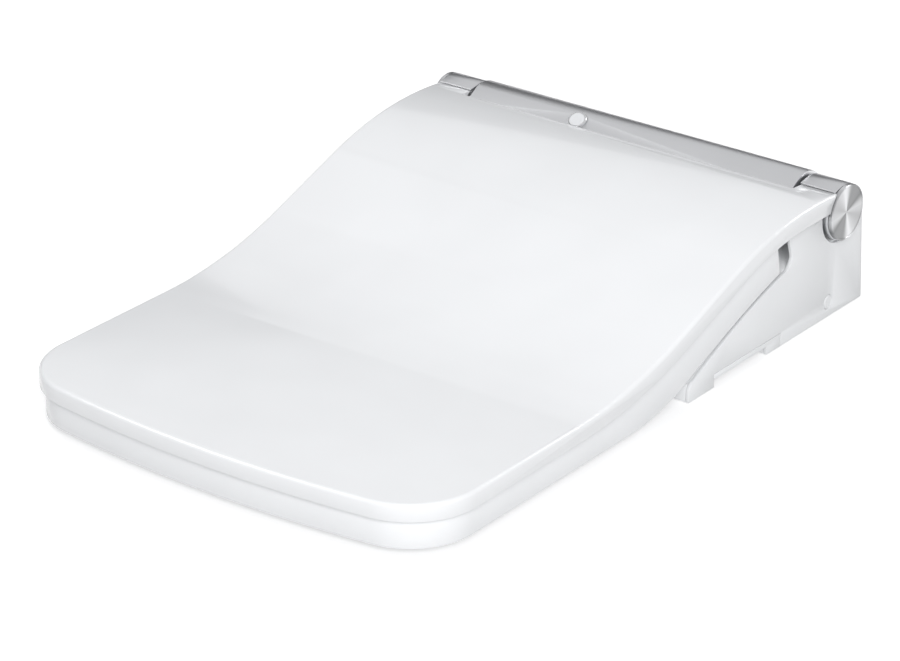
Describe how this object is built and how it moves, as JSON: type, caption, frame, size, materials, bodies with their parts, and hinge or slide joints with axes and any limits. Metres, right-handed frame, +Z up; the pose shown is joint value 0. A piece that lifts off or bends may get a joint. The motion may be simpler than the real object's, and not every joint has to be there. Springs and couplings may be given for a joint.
{
  "type": "electric bidet seat",
  "caption": "Electric bidet toilet seat: slim housing with a nozzle and dryer inside, a hinged oval seat ring and an S-curved lid on metal hinge ends.",
  "frame": {"origin": "midway between the two fixing holes, in the plane of the toilet rim", "axes": "+Z up, the seated user faces -Y, +X to the right of someone who looks at the front of the seat"},
  "size_m": [0.385, 0.5723, 0.1109],
  "materials": {
    "white_gloss": "gloss white moulding",
    "white_satin": "satin white moulding",
    "white_underbody": "plain white moulding",
    "grey_metal": "bead-blasted, anodised",
    "spun_metal": "spun finish",
    "steel": "plain",
    "dark_plastic": "plain",
    "nozzle_white": "plain",
    "seat_arm_plastic": "plain",
    "grey_rubber": "soft",
    "board": "circuit board",
    "brass": "threaded fitting",
    "heater_foil": "foil"
  },
  "bodies": {
    "root": {"base_plate": "white_underbody", "lower_housing": "white_underbody", "upper_housing": "white_satin", "outlet_fascia": "white_satin", "side_panel_left": "white_satin", "side_panel_right": "white_satin", "side_skirt_left": "white_satin", "side_skirt_right": "white_satin", "drain_plug": "white_underbody", "housing_screws": "steel", "band_cover": "grey_metal", "button_bezel": "spun_metal", "hinge_bracket_left": "steel", "hinge_bracket_right": "steel", "hinge_pin_left": "steel", "hinge_pin_right": "steel", "seat_damper": "dark_plastic", "lid_damper": "dark_plastic", "nozzle_guide": "nozzle_white", "nozzle_motor": "steel", "water_heater": "nozzle_white", "water_pump": "dark_plastic", "inlet_valve": "dark_plastic", "inlet_connector": "brass", "cord_gland": "dark_plastic", "control_board": "board", "power_board": "board", "fan_housing": "dark_plastic", "fan_motor": "steel"},
    "seat": {"seat_top_shell": "white_gloss", "seat_bottom_shell": "white_satin", "seat_heater": "heater_foil", "seat_arm_left": "seat_arm_plastic", "seat_arm_right": "seat_arm_plastic", "seat_bumpers": "grey_rubber", "seat_sensor": "dark_plastic"},
    "lid": {"lid_shell": "white_gloss", "lid_inner_panel": "white_satin", "lid_bumpers": "grey_rubber", "hinge_sleeve_left": "grey_metal", "hinge_sleeve_right": "grey_metal", "hinge_cap_left": "spun_metal", "hinge_cap_right": "spun_metal"},
    "control_button": {"control_button": "white_gloss"},
    "release_button": {"release_button": "white_satin"},
    "nozzle": {"nozzle_wand": "nozzle_white", "nozzle_tip": "nozzle_white"},
    "pinion": {"nozzle_pinion": "nozzle_white"},
    "fan": {"fan_impeller": "dark_plastic"}
  },
  "joints": [
    {"name": "seat_hinge", "type": "hinge", "parent": "root", "child": "seat", "pos_m": [0, 0.0862, 0.085], "axis": [1, 0, 0], "range_deg": [-95, 0]},
    {"name": "lid_hinge", "type": "hinge", "parent": "seat", "child": "lid", "pos_m": [0, 0.0862, 0.085], "axis": [-1, 0, 0], "range_deg": [0, 105]},
    {"name": "control_button_press", "type": "slide", "parent": "root", "child": "control_button", "axis": [0, 0.5093, -0.8606], "range_m": [0, 0.0012], "stiffness_N_per_m": 800},
    {"name": "release_button_press", "type": "slide", "parent": "root", "child": "release_button", "axis": [-1, 0, 0], "range_m": [0, 0.003], "stiffness_N_per_m": 800},
    {"name": "nozzle_slide", "type": "slide", "parent": "root", "child": "nozzle", "axis": [0, -0.9659, -0.2588], "range_m": [0, 0.08]},
    {"name": "pinion_spin", "type": "hinge", "parent": "root", "child": "pinion", "pos_m": [0, 0.03345, 0.06158], "axis": [1, 0, 0], "range_deg": [-515, 5]},
    {"name": "fan_spin", "type": "hinge", "parent": "root", "child": "fan", "pos_m": [0.112, 0.062, 0.02], "axis": [0, 0, 1], "continuous": true}
  ],
  "couplings": [
    {"joint": "pinion_spin", "follows": "nozzle_slide", "rad_per_m": -111.11}
  ]
}
